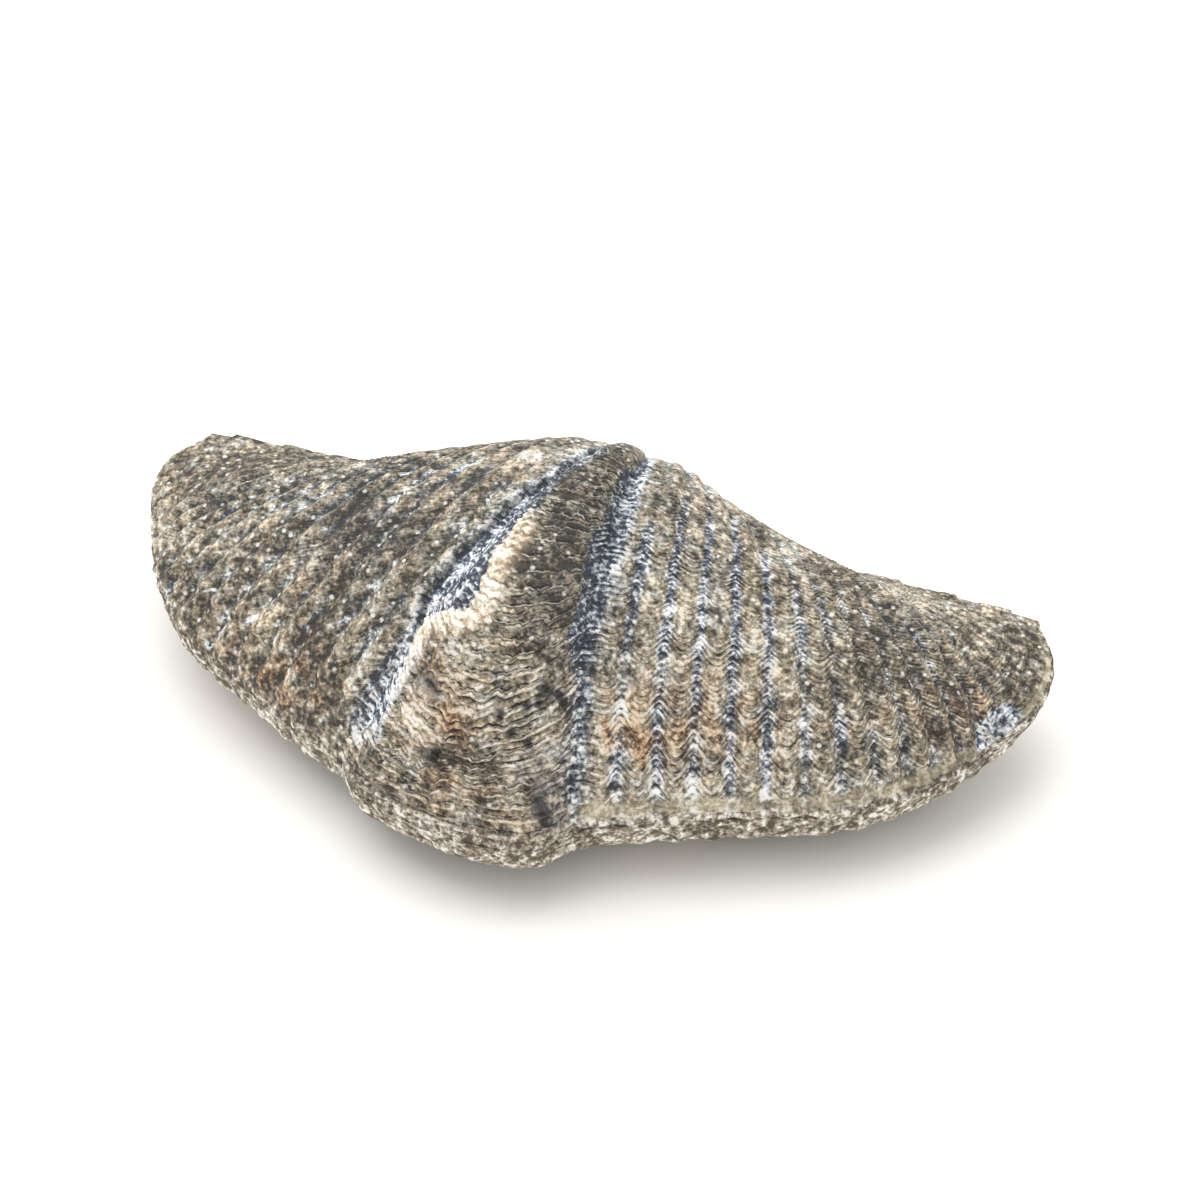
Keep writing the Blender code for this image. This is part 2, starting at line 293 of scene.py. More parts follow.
def outline(plan, corners):
    """Distance to a closed outline in mm, positive inside it."""
    x, y = plan[..., 0], plan[..., 1]
    nearest, inside = np.full(x.shape, 1e9), np.zeros(x.shape, bool)
    for (ax, ay), (bx, by) in zip(corners, corners[1:] + corners[:1]):
        t = ((x - ax) * (bx - ax) + (y - ay) * (by - ay)) / ((bx - ax) ** 2 + (by - ay) ** 2)
        t = np.clip(t, 0.0, 1.0)
        nearest = np.minimum(nearest, np.hypot(x - ax - t * (bx - ax), y - ay - t * (by - ay)))
        if ay != by:
            crosses = ((ay > y) != (by > y)) & (x < ax + (y - ay) * (bx - ax) / (by - ay))
            inside ^= crosses
    return np.where(inside, nearest, -nearest)


# corners of the breaks, and the middles and sizes of the pits
BROKEN_BAND = [(0.1, 6.1), (-1.0, 2.6), (-2.3, 0.6), (-3.1, -1.1), (-3.9, -2.4), (-4.6, -3.8),
               (-5.2, -4.9), (-5.2, -6.5), (-5.8, -7.6), (-6.4, -8.4), (-7.2, -9.4), (-5.6, -10.4),
               (-5.3, -9.8), (-4.9, -9.1), (-4.8, -8.0), (-4.8, -6.7), (-4.5, -6.2), (-3.5, -6.4),
               (-2.3, -6.6), (-1.8, -5.9), (-1.9, -5.1), (-1.8, -4.1), (-1.3, -2.8), (-1.1, -1.4),
               (-0.6, -0.1), (-0.2, 1.8), (0.9, 5.0)]
FILLED_GROOVE = [(2.2, 5.1), (2.3, 2.6), (2.4, 0.5), (2.4, -1.7), (2.6, -3.3), (2.7, -4.5),
                 (2.6, -6.1), (2.9, -6.5), (3.9, -7.1), (4.2, -8.2), (4.2, -10.4), (4.7, -11.0),
                 (5.2, -10.7), (4.7, -9.4), (4.6, -8.0), (4.6, -7.4), (4.2, -6.3), (4.0, -5.2),
                 (4.0, -4.0), (3.8, -2.4), (3.4, -1.1), (3.2, 0.6), (3.2, 2.4), (3.0, 4.9)]
FLAKE = [(-4.5, -9.7), (-3.7, -10.0), (-2.9, -10.5), (-2.1, -11.0), (-2.3, -11.3), (-2.9, -11.2),
         (-4.2, -10.3)]
PITS = [(1.8, -9.4, 0.22), (2.5, -8.5, 0.35), (3.2, -8.2, 0.30), (2.3, -9.1, 0.22),
        (0.6, -10.0, 0.2), (1.3, -10.4, 0.18), (2.2, -10.4, 0.2), (-2.4, -11.4, 0.3),
        (3.3, -11.6, 0.4)]

# strength, x, y, half width, half depth and turn in degrees
WORN = ((0.6, -13.0, -5.5, 5.0, 2.6, -30), (0.4, -18.0, 0.0, 3.0, 4.0, 0))
BLUE = ((1.2, 8.5, -0.8, 5.5, 3.6, 20), (0.7, 11.0, -6.2, 8.0, 1.6, 22),
        (1.2, -16.0, 3.6, 4.5, 2.2, 15), (1.0, -9.5, 3.0, 5.0, 3.0, 0))
RUST = ((1.3, 6.6, -7.0, 2.6, 1.2, 18), (1.2, -1.5, -10.5, 0.9, 0.45, -30),
        (1.0, 20.8, 1.7, 3.5, 1.5, 35), (0.9, 10.8, -4.5, 3.0, 1.2, 20),
        (0.8, -12.8, -6.2, 4.0, 1.6, -30), (0.7, -0.5, -12.4, 3.5, 0.8, 0),
        (0.6, -2.8, -9.4, 2.2, 1.6, -30))
PURPLE = ((1.4, 3.6, -11.2, 0.9, 0.8, 0), (0.8, -10.1, -0.6, 2.2, 1.2, 15),
          (0.3, 1.6, -4.5, 1.2, 3.0, 0), (0.3, 1.0, 1.0, 1.5, 2.0, 0))
# painted shade: the fold's right slope, darker as if turned away from the light
FOLD_PAINTED_SHADE = ((2.0, 1.7, -3.6, 1.5, 3.4, 0), (0.3, -0.5, -3.0, 1.5, 4.0, 0))
print(len(PITS), "pits,", len(RUST), "rust spots")

# %% [markdown]
# ## Laying the shell down
# The finished valves are drooped at the wings, tipped a little forward and set on the spot
# that is worn flat below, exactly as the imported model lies.

# %% From the shell's own frame to the model's
WING_DROOP, PITCH = (1.0, 2.05), np.radians(7.5)
HINGE_MIDDLE = MM * np.array([-0.410, 10.101, 6.797])    # where the shell's own origin comes to lie


def drooped(points):
    """z less WING_DROOP * x squared, then a turn about x; the shell's front is toward -Y."""
    x, ahead, up = np.moveaxis(points, -1, 0)
    up = up - np.where(x < 0.0, WING_DROOP[0], WING_DROOP[1]) * x * x
    return np.stack([x, -(ahead * np.cos(PITCH) + up * np.sin(PITCH)),
                     up * np.cos(PITCH) - ahead * np.sin(PITCH)], axis=-1)


def laid_down(points):
    """Drooped, with the hinge's middle in its place and nothing below the ground."""
    placed = drooped(points) - drooped(np.zeros(3)) + HINGE_MIDDLE
    placed[..., 2] = np.maximum(placed[..., 2], 0.0)
    return placed


lower_beak = np.array([[0.0, -BEAK_BACK, -BEAK_DOWN]])
print("tip of the lower beak, mm:", (1000 * laid_down(lower_beak)[0]).round(1).tolist())


def raised(points, height, side):
    """Points moved out along the grid's own normals, all but its two hinge edges."""
    normal = np.cross(np.gradient(points, axis=1), np.gradient(points, axis=0)) * side
    normal /= np.maximum(np.linalg.norm(normal, axis=-1, keepdims=True), 1e-12)
    height = height.copy()
    height[:, 0] = height[:, -1] = 0.0
    return points + normal * height[..., None]


# %% [markdown]
# ## Relief
# From coarse to fine: ribs, ledges where growth stopped for a winter, the lamellae, and the
# roughness of weathered stone. Where the shell is worn, the lamellae are gone and the stone's
# grain shows. A displacement modifier could raise all this, but arrays also give the marks, so
# colour and form agree. Heights are in millimetres, and a mark is the share of a finish, 0 to 1.

# %% Growth lines that wander
RIB_DEPTH, RIB_FLOOR, RIB_POWER = 0.25, 0.30, 1.1    # flat-floored grooves and round crests
FOLD_FRILL = 0.08                   # growth by which a row runs ahead on the fold's crest
LEDGES = ((0.605, 0.12), (0.76, 0.18), (0.92, 0.25))


def growth_rows(across, lamella):
    """Lamella count over LAMELLAE, plus a frill over ribs and fold and a slow wander."""
    growth = lamella / LAMELLAE
    grown = smooth_step(growth / 0.3) * smooth_step((0.985 - growth) / 0.03)
    frill = FRILL * (2.0 * crest(across) ** 1.5 - 1.0) * rib_fade(across)
    places = np.stack([across * 45.0, lamella * 0.35, np.zeros_like(across)], axis=-1)
    wander = 0.35 * lumps(places, 1.0, 3) + 0.3 * lumps(places, 2.6, 4)
    bow = FOLD_FRILL * fold_arch(across) * smooth_step((growth - 0.3) / 0.4)
    bow = bow * smooth_step((1.0 - growth) / 0.2)
    return growth + bow + grown * (frill * growth ** 0.5 + wander / LAMELLAE)


def lamella_strength(lamella, growth, on_fold):
    """A random height for each lamella, more near a ledge; in front every other one is bold."""
    count = np.floor(lamella + 1e-6)
    zero = np.zeros_like(count)
    one = shuffle(np.stack([count, zero, zero], axis=-1), 5)
    near_ledge = sum(np.exp(-((growth - place) / 0.02) ** 2) for place, _ in LEDGES[:2])
    frilled = smooth_step((growth - np.where(on_fold, 0.45, 0.82)) / 0.04)
    every_other = np.where(count % 2 == 0, 1.3, -0.4)
    return 0.6 + 0.6 * one + 0.8 * near_ledge + frilled * every_other


print("a rib stands", round(2 * RIB_DEPTH * (1 - RIB_FLOOR ** RIB_POWER), 2), "mm over its groove")


# %% Wear, ribs and sediment


def groove_distance(across):
    """How far a place is from the nearer side of the fold, in widths of the fold."""
    return np.minimum(np.abs(across), np.abs(across - 1.0))


def wear(across, placed, upper):
    """Most on the left flank and the wings, and about half as much on the lower valve."""
    worn = 0.5 * (across < 0) + 0.85 * smooth_step((flank(across) - 0.55) / 0.25)
    if upper:
        worn = worn + spots(placed[..., :2], WORN)
    return np.clip(worn + 0.25 * rough(placed, 2.5, 21), 0.0, 1.0) * (1.0 if upper else 0.55)


def ribs_and_ledges(across, growth, worn):
    """Heights of the rounded ribs and the ledges, less the grooves beside the fold."""
    round_rib = 2.0 * np.maximum(crest(across), RIB_FLOOR) ** RIB_POWER - 1.1
    rib = RIB_DEPTH * rib_fade(across) * growth ** 0.8 * round_rib * (1.0 - 0.15 * worn)
    rib = rib * (1.0 - 0.6 * smooth_step((growth - 0.95) / 0.04))
    ledge = sum(drop * np.clip(1 - (place - growth) / 0.12, 0, 1) * (growth <= place)
                for place, drop in LEDGES)
    groove = np.exp(-(groove_distance(across) / 0.05) ** 2)
    return rib + ledge - np.where(across < 0.5, 0.08, 0.25) * groove * growth


def groove_sediment(across, growth, placed, worn, upper):
    """Blue-grey mud turned to stone: patches between the ribs, and both sides of the fold."""
    blue = 0.35 + 0.8 * lumps(placed, 1.5, 51)
    if upper:
        blue = blue + spots(placed[..., :2], BLUE)
    between = smooth_step((0.62 - crest(across) + 0.25 * lumps(placed, 0.5, 53)) / 0.3)
    between = between * rib_fade(across) * np.clip(blue - 0.4 * worn, 0.0, 1.0)
    width = np.where(flank(across) > 0, 0.012, 0.06)
    beside = np.exp(-(groove_distance(across) / width) ** 2) * smooth_step((0.97 - growth) / 0.03)
    return np.maximum(between, beside)


# %% What each place on a valve is like


def weathering(across, lamella, growth, smooth_points, upper):
    """Heights in metres, and the marks, all from the same masks."""
    placed = 1000.0 * laid_down(smooth_points)
    fade, on_fold, peak = rib_fade(across), (fold_arch(across) > 0) * 1.0, crest(across)
    phase = lamella - np.floor(lamella + 1e-6)
    worn = wear(across, placed, upper)

    smooth = smooth_step((growth - 0.968) / 0.008) * smooth_step((0.990 - growth) / 0.004)
    smooth = smooth * smooth_step(across / 0.1) * (1 - on_fold)
    smooth = smooth * np.clip(0.75 + 0.7 * lumps(placed, 1.4, 33), 0.0, 1.0)
    strength = lamella_strength(lamella, growth, on_fold > 0) * (1.0 - 0.8 * smooth)
    patchy = np.clip(0.6 + 0.5 * lumps(placed, 1.3, 31) + 0.5 * lumps(placed, 0.6, 32), 0.0, 1.5)
    fine = 0.08 * (phase - 0.4) * strength * (0.25 + patchy) * (1.0 - 0.8 * worn)
    fine = fine * (1.0 + 0.9 * on_fold * smooth_step((growth - 0.75) / 0.1))
    fine = fine * smooth_step(growth / 0.1)

    stone = 0.055 * rough(placed, 0.5, 41, 2) + 0.09 * worn * (0.6 - grains(placed, 0.5, 43))
    stone = stone + 0.07 * rough(placed, 0.9, 48, 2) * on_fold * smooth_step((growth - 0.55) / 0.2)
    stone = (stone + 0.05 * rough(placed, 1.8, 47, 2)) * (1.0 - 0.6 * smooth)
    sediment = groove_sediment(across, growth, placed, worn, upper)
    texture = fine + stone + 0.06 * sediment * (0.55 - grains(placed, 0.3, 57))
    height = ribs_and_ledges(across, growth, worn) + texture

    ribwise = np.stack([across * RIBS_TO_HINGE * 2.2, lamella * 0.45, 0.0 * across], axis=-1)
    streaks = (0.4 + 0.6 * fade) * rough(ribwise, 1.0, 49, 2)
    weak_rib = np.where(across < 0, 0.20, 0.30 - 0.20 * fade) * (flank(across) > 0)
    relief = 0.46 + 4.5 * texture + weak_rib * (peak - 0.65) + np.where(across < 0, 0.22, 0.15) * streaks
    white = 0.8 * fade * smooth_step((streaks - 0.45) / 0.15) * smooth_step((0.75 - peak) / 0.3)
    edge = np.clip(strength * patchy * (1.0 - 0.85 * worn) * (0.8 + 0.8 * on_fold), 0.0, 3.0)
    marks = {"relief": np.clip(relief, 0.0, 1.0), "shade": 0.5 * rough(placed, 4.0, 59),
             "edge": edge, "sediment": sediment, "calcite": white, "smooth": smooth}
    for name in ("cream", "rust", "purple", "crust", "crack"):
        marks[name] = np.zeros_like(height)
    if upper:
        shoulder = spot(np.stack([across, growth], axis=-1), 1.08, 0.3, 0.09, 0.17)
        height = upper_damage(across, growth, lamella, placed, height + 0.6 * shoulder, marks)
    return height * MM, marks


# %% [markdown]
# ## Breaks and stains
# Each break changes the heights and the marks together, so its colour lies exactly where its
# shape is. Cutting with booleans would make cleaner breaks than stone has, and spoil the grid.
# The biggest is a band where the shell has come off along the fold's left side: the groove's
# filling of blue and white calcite shows there, behind a thick, cream broken edge.

# %% What the breaks have in common


def ragged(placed):
    """How far in mm the edge of a break wanders."""
    return 0.16 * rough(placed, 0.6, 61)


def crystals(placed):
    """Heights of broken calcite: points about half a millimetre apart, and a finer roughness."""
    return 0.12 * (0.5 - grains(placed, 0.5, 63)) + 0.05 * rough(placed, 0.3, 64, 2)


def patches(placed):
    """1 where broken calcite is white and 0 where it is blue."""
    return smooth_step(0.5 + 1.2 * lumps(placed, 0.9, 60))


def at_least(marks, name, share):
    """Raises a mark to a share where it is lower."""
    marks[name] = np.maximum(marks[name], share)


# %% The two sides of the fold


def broken_band(across, growth, placed, height, marks):
    """A crystal floor; a cream lip on the fold, paler with painted light; on the flank a crack in painted
    shadow and a painted highlight.
    """
    plan, from_beak = placed[..., :2], smooth_step((growth - 0.12) / 0.1)
    band = outline(plan, BROKEN_BAND) + ragged(placed)
    floor = smooth_step(band / 0.14) * from_beak
    thick = smooth_step((-0.8 - plan[..., 1]) / 1.5) * smooth_step((plan[..., 1] + 9.5) / 3.0)
    lip = np.exp(-((band + 0.2 + 0.2 * thick) / (0.15 + 0.45 * thick)) ** 2) * (1 - floor)
    lip = lip * smooth_step((across - 0.02) / 0.05)
    # painted shadow: the crack is dark where the flank's broken wall turns from the light
    crack = np.exp(-((band - 0.12) / 0.12) ** 2) * (across < 0.02) * from_beak
    # painted highlight: a pale line on the flank's edge, where it faces the light
    edge = np.exp(-((band + 0.2) / 0.15) ** 2) * (across < 0.0) * from_beak
    at_least(marks, "sediment", floor)
    at_least(marks, "calcite", floor * np.where(across < 0.05, 0.85, 0.35 + 0.6 * patches(placed)))
    at_least(marks, "calcite", np.maximum(0.8 * lip * (1 - thick), 0.5 * edge))
    at_least(marks, "cream", np.clip(lip * thick * 2.0, 0, 1) * (1 - floor))
    at_least(marks, "crack", crack)
    # the lip is cream broken shell, made paler still by painted light where its edge faces the light
    marks["shade"] = marks["shade"] + 1.3 * lip * thick
    marks["edge"] = marks["edge"] * (1 - 0.6 * lip * thick) + edge
    height = height * (1 - 0.7 * floor) - 0.20 * floor + crystals(placed) * floor
    return height + 0.12 * lip * thick - 0.08 * crack + 0.05 * edge


def filled_groove(across, growth, placed, height, marks):
    """The groove on the fold's right: filled in patches, with a white edge that stands up, white calcite
    with a painted highlight on it.
    """
    filled = smooth_step((outline(placed[..., :2], FILLED_GROOVE) + ragged(placed)) / 0.2)
    filled = filled * smooth_step((growth - 0.12) / 0.1)
    young = smooth_step((0.45 - growth) / 0.15)
    # the white edge: white calcite, brightened as a painted highlight where the rib's side faces the light
    white = np.exp(-((across - 1.012) / 0.010) ** 2) * smooth_step((0.8 - growth) / 0.2)
    edge = np.exp(-((across - 1.017) / 0.006) ** 2) * smooth_step((0.75 - growth) / 0.1)
    at_least(marks, "sediment", filled)
    at_least(marks, "calcite", filled * np.maximum(0.6 * young, 0.5 * patches(placed)))
    at_least(marks, "calcite", 0.9 * white)
    marks["edge"] = marks["edge"] + edge
    return height - 0.10 * filled * (1.0 - young) + 0.6 * crystals(placed) * filled + 0.08 * edge


# %% The fold's front and the right wing


def broken_front(across, growth, lamella, placed, height, marks):
    """On the fold's front a flake that lies on it, pits, and gaps under some lamellae."""
    plan, wander = placed[..., :2], ragged(placed)
    flake = smooth_step((outline(plan, FLAKE) + 0.08 * rough(placed, 0.4, 65) + 0.02) / 0.1)
    behind = spot(plan, -3.2, -9.3, 0.9, 0.3, -32)
    height = height + 0.22 * flake - 0.3 * behind
    at_least(marks, "rust", 0.45 * flake)
    at_least(marks, "cream", 0.8 * flake)
    at_least(marks, "crack", behind)
    for x, y, size in PITS:
        pit = smooth_step(1.4 * spot(plan, x, y, 1.3 * size, size, 20) + 0.4 * wander - 0.2)
        height = height - 0.3 * pit
        at_least(marks, "crack", pit)
    phase = lamella - np.floor(lamella + 1e-6)
    gap = (phase < 0.4) * (np.floor(lamella) % 3 == 0) * smooth_step(2.5 * lumps(placed, 1.4, 66))
    gap = gap * smooth_step((growth - 0.8) / 0.05) * smooth_step((across - 0.02) / 0.05) * (across < 1)
    at_least(marks, "crack", 0.7 * gap)
    return height - 0.10 * gap


def wing_chip(across, growth, placed, height, marks):
    """A bite out of the right wing's edge, white round a blue-grey floor."""
    chip = np.exp(-((across - 1.60) / 0.06) ** 2 - ((growth - 0.97) / 0.045) ** 2)
    cut, inner = (smooth_step((chip + 1.2 * ragged(placed) - start) / 0.2) for start in (0.35, 0.6))
    at_least(marks, "sediment", cut)
    at_least(marks, "calcite", cut * (0.95 - 0.6 * inner))
    marks["smooth"] = marks["smooth"] * (1.0 - cut)
    marks["shade"] = marks["shade"] + 0.6 * cut
    return height - 0.35 * chip - 0.25 * cut


# %% [markdown]
# Stains have soft edges and no relief: iron has run along the crests, a little of the shell
# has kept a purple cast, and wide parts are darker or paler than the rest. They could be
# painted on by hand, but a spot with a place, a size and a turn is easier to move. Painted
# shade darkens the fold's right slope, as if it were turned away from the light.

# %% Stains, painted shade on the fold, and everything in turn


def stains(across, growth, placed, marks):
    """Rust, most of it on crests, purple shell, wide parts that are darker or paler, and painted shade on
    the fold's right slope.
    """
    plan, on_fold = placed[..., :2], fold_arch(across) > 0
    on_crest = 0.35 + 0.65 * crest(across) * rib_fade(across) + 0.5 * on_fold
    rust = spots(plan, RUST) * on_crest * (0.6 + 1.0 * lumps(placed, 0.8, 71))
    purple = spots(plan, PURPLE) * (0.8 + 0.6 * lumps(placed, 0.7, 73))
    at_least(marks, "rust", np.clip(rust, 0, 1))
    at_least(marks, "purple", np.clip(purple, 0, 1))

    x = plan[..., 0]
    left = smooth_step((-3.0 - x) / 4.0) * smooth_step((x + 23.0) / 5.0)
    right_wing = smooth_step((x - 13.0) / 8.0)
    right_front = smooth_step((growth - 0.75) / 0.15) * (across > 1) * smooth_step((20.0 - x) / 6.0)
    older_fold = smooth_step((growth - 0.25) / 0.15) * smooth_step((0.88 - growth) / 0.1) * on_fold
    paler = 0.15 * spot(plan, -4.5, -9.5, 3.5, 3.0) + 0.45 * right_front
    # the spots on the fold's right slope are painted shade; the other parts are darker or paler tone
    darker = 0.45 * left + 0.35 * right_wing + 0.35 * older_fold + spots(plan, FOLD_PAINTED_SHADE) * (across > 0)
    marks["shade"] = marks["shade"] + paler - darker


def upper_damage(across, growth, lamella, placed, height, marks):
    """Every break and stain of the upper valve, in turn; gives the new heights."""
    height = broken_band(across, growth, placed, height, marks)
    height = filled_groove(across, growth, placed, height, marks)
    height = broken_front(across, growth, lamella, placed, height, marks)
    height = wing_chip(across, growth, placed, height, marks)
    stains(across, growth, placed, marks)
    return height


# %% [markdown]
# The rims are the last thing that the shell grew. They are thickened by a lumpy crust, with
# dark gaps where the valves don't quite meet.

# %% Crust of the rims


def crusted(marks, placed, on_rim):
    """Heights of the lumpy crust on a rim, which hides the other marks there."""
    lumpy = 0.16 * (0.5 - grains(placed, 0.55, 81)) + 0.08 * rough(placed, 0.35, 82, 2)
    marks["crust"] = on_rim
    for name, there in (("edge", 0.0), ("relief", 0.46 + 3.0 * lumpy)):
        marks[name] = marks[name] + (there - marks[name]) * on_rim
    return MM * lumpy * on_rim


def seam_gaps(placed, seam):
    """Dark gaps here and there along the line where the valves meet."""
    return 0.8 * seam * smooth_step(lumps(placed, 1.1, 76))


# %% [markdown]
# ## From grids to closed meshes
# Each valve is closed on its inside by a fan of faces from the margin and the hinge to one
# point in the middle, where nothing shows. A remesh would close them too, but would blur the
# lamellae. The folds between outside, interarea and fan are marked sharp, so that each is
# shaded by itself.

# %% Mesh helpers


def quads(index):
    """Faces between the rows of a grid of vertex numbers."""
    return np.stack([index[:-1, :-1].ravel(), index[:-1, 1:].ravel(),
                     index[1:, 1:].ravel(), index[1:, :-1].ravel()], axis=1).tolist()


def fan(point, line):
    """Triangles from one vertex to each stretch of a line of vertices."""
    return [[int(point), int(a), int(b)] for a, b in zip(line[:-1], line[1:])]


def valve_object(name, points, faces, ridges, marks, growth_lines):
    """A closed smooth-shaded mesh, faces out, with its marks as vertex attributes."""
    mesh = bpy.data.meshes.new(name)
    mesh.from_pydata(points.tolist(), [], faces)
    mesh.validate()
    for label, values in marks.items():
        layer = mesh.attributes.new(label, "FLOAT", "POINT")
        layer.data.foreach_set("value", values.astype(np.float32))
    lines = mesh.attributes.new("growth_lines", "FLOAT_VECTOR", "POINT")
    lines.data.foreach_set("vector", growth_lines.astype(np.float32).ravel())
    ends = np.empty(2 * len(mesh.edges), dtype=np.int32)
    mesh.edges.foreach_get("vertices", ends)
    on_ridge = np.isin(ends.reshape(-1, 2), ridges).all(axis=1)
    mesh.shade_smooth()
    sharp = mesh.attributes.new("sharp_edge", "BOOLEAN", "EDGE")
    sharp.data.foreach_set("value", on_ridge)
    valve = bpy.data.objects.new(name, mesh)
    bpy.context.scene.collection.objects.link(valve)
    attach(valve, "root")
    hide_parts("brachiopod_fossil")
    triangles = sum(len(f) - 2 for f in faces)
    print(name, triangles, "triangles")
    return valve


def flattened(marks, extra):
    """Each mark as one list for the grid's vertices, with zeros for the extra ones."""
    return {k: np.concatenate([v.ravel(), np.zeros(extra)]) for k, v in marks.items()}


# %% Upper valve
across_line = grid_across(12, 8, 72, 30)
across, lamella = np.meshgrid(across_line, grid_lamella(46, (0.0, 0.45, 0.9)))
growth = growth_rows(across, lamella)
upper_smooth = upper_surface(across, growth)
upper_height, upper_marks = weathering(across, lamella, growth, upper_smooth, True)
seam = np.exp(-((1.0 - growth) / 0.004) ** 2)
placed = 1000.0 * laid_down(upper_smooth)
upper_height = upper_height - 0.08 * MM * seam
upper_height = upper_height + crusted(upper_marks, placed, smooth_step((growth - 0.988) / 0.004))
at_least(upper_marks, "crack", seam_gaps(placed, seam))
upper_points = raised(upper_smooth, upper_height, 1.0)
rows, columns = across.shape
grid = np.arange(rows * columns).reshape(rows, columns)
beak, middle = rows * columns, rows * columns + 1
margin_row = upper_points[-1]
middle_point = np.array([0.0, 0.45 * margin_row[:, 1].max(), 0.3 * MM])
points = np.concatenate([upper_points.reshape(-1, 3), np.zeros((1, 3)), middle_point[None]])
loop = np.concatenate([grid[::-1, 0], [beak], grid[:, -1], grid[-1, -2::-1]])
faces = quads(grid) + fan(beak, grid[0]) + fan(middle, loop)
lines = np.stack([across * RIBS_TO_HINGE, lamella, growth], axis=-1).reshape(-1, 3)
upper_valve = valve_object("upper_valve", laid_down(points), faces, loop,
                           flattened(upper_marks, 2),
                           np.concatenate([lines, np.zeros((2, 3))]))

# %% [markdown]
# ## Lower valve
# It has the same ribs and lamellae, a sulcus where the upper valve has its fold, and a crusty
# edge that shows all round under the margin. At the back it ends in the interarea, with fine
# lines along the hinge and a notch in the middle, which was filled when the stalk was
# gone.

# %% Lower valve and interarea
AREA_COLUMNS = 120
rim_rows = LAMELLAE * (1.0 - RIM_GROWTH * np.linspace(1.0, 0.0, 15)[1:])
lower_lines = grid_lamella(30, (0.0, 0.8))
lower_lines = np.concatenate([lower_lines[lower_lines < LAMELLAE * (1 - RIM_GROWTH)], rim_rows])
across, lamella = np.meshgrid(across_line, lower_lines)
growth = growth_rows(across, lamella)
lower_smooth = lower_surface(across, growth)
lower_height, lower_marks = weathering(across, lamella, growth, lower_smooth, False)
on_rim = smooth_step((growth - 1 + RIM_GROWTH) / 0.003)
placed = 1000.0 * laid_down(lower_smooth)
lower_height = lower_height * (1 - 0.7 * on_rim) + crusted(lower_marks, placed, on_rim)
lower_marks["smooth"] = np.zeros_like(growth)
lower_marks["crack"] = seam_gaps(placed, np.exp(-((1.0 - growth) / 0.0012) ** 2))
lower_points = raised(lower_smooth, lower_height, -1.0)
lower_points[-1] = margin_row


def hinge_area(edge_left, edge_right, lamella_rows):
    """Straight lines between the two edges, with a sunk notch and fine striae."""
    share = np.linspace(-1.0, 1.0, AREA_COLUMNS + 1)[1:-1]
    left, right = edge_left[:, None], edge_right[:, None]
    area = 0.5 * (left + right) + 0.5 * (right - left) * share[None, :, None]
    growth = (lamella_rows / LAMELLAE)[:, None]
    distance = np.abs(area[..., 0]) / (1.9 * MM * growth + 1e-9)
    notch = smooth_step((1.05 - distance) / 0.25)
    places = 1000.0 * area
    striae = 0.03 * np.sin(2 * np.pi * lamella_rows[:, None] / 3.0) * (1 - notch)
    uneven = striae + 0.05 * rough(places, 0.8, 91) + 0.04 * notch * rough(places, 0.4, 92)
    inner = smooth_step((1.0 - np.abs(share)) / 0.04)[None] * smooth_step((1.0 - growth) / 0.01)
    sunk = (0.42 * notch * growth ** 0.3 - uneven) * inner * MM
    area[..., 1] += sunk
    marks = {"sediment": 0.7 * notch, "relief": np.clip(0.5 + 4 * uneven, 0, 1),
             "smooth": 0.5 * (1 - notch)}
    return area, marks


area, area_marks = hinge_area(lower_points[:, 0], lower_points[:, -1], lower_lines)
rows, columns = across.shape
grid = np.arange(rows * columns).reshape(rows, columns)
inner = rows * columns + np.arange(rows * area.shape[1]).reshape(rows, -1)
area_grid = np.concatenate([grid[:, :1], inner, grid[:, -1:]], axis=1)
beak, middle = inner[-1, -1] + 1, inner[-1, -1] + 2
points = np.concatenate([lower_points.reshape(-1, 3), area.reshape(-1, 3),
                         lower_beak, middle_point[None] - [[0, 0, 0.6 * MM]]])
loop = np.concatenate([grid[-1], area_grid[-1, -2::-1]])
faces = (quads(grid[:, ::-1]) + fan(beak, grid[0, ::-1]) + quads(area_grid)
         + fan(beak, area_grid[0]) + fan(middle, loop))
zero = np.zeros(area.shape[:2])
marks = {k: np.concatenate([v.ravel(), area_marks.get(k, zero).ravel(), [0, 0]])
         for k, v in lower_marks.items()}
lines = np.stack([across * RIBS_TO_HINGE, lamella, growth], axis=-1).reshape(-1, 3)
lines = np.concatenate([lines, np.full((inner.size + 2, 3), 0.5)])
ridges = np.concatenate([loop, grid[:, 0], grid[:, -1], [beak]])
lower_valve = valve_object("lower_valve", laid_down(points), faces, ridges, marks, lines)

# %% [markdown]
# ## Weathered calcite
# The shell is calcite, bedded in mud that turned to stone and then weathered out. To the eye
# it is a dull tan stone that changes grain by grain: dark where a grain has left a pit, pale
# where a crystal face shows. Its finishes are masks on one material, because they grade
# into each other as they do on the stone.

# %% Helpers for materials


def linear(hex_code):
    """An sRGB hex value as a linear colour: ((c + 0.055) / 1.055) ** 2.4, or c / 12.92."""
    c = np.array([int(hex_code[i:i + 2], 16) for i in (1, 3, 5)]) / 255.0
    c = np.where(c <= 0.04045, c / 12.92, ((c + 0.055) / 1.055) ** 2.4)
    return (*c.tolist(), 1.0)


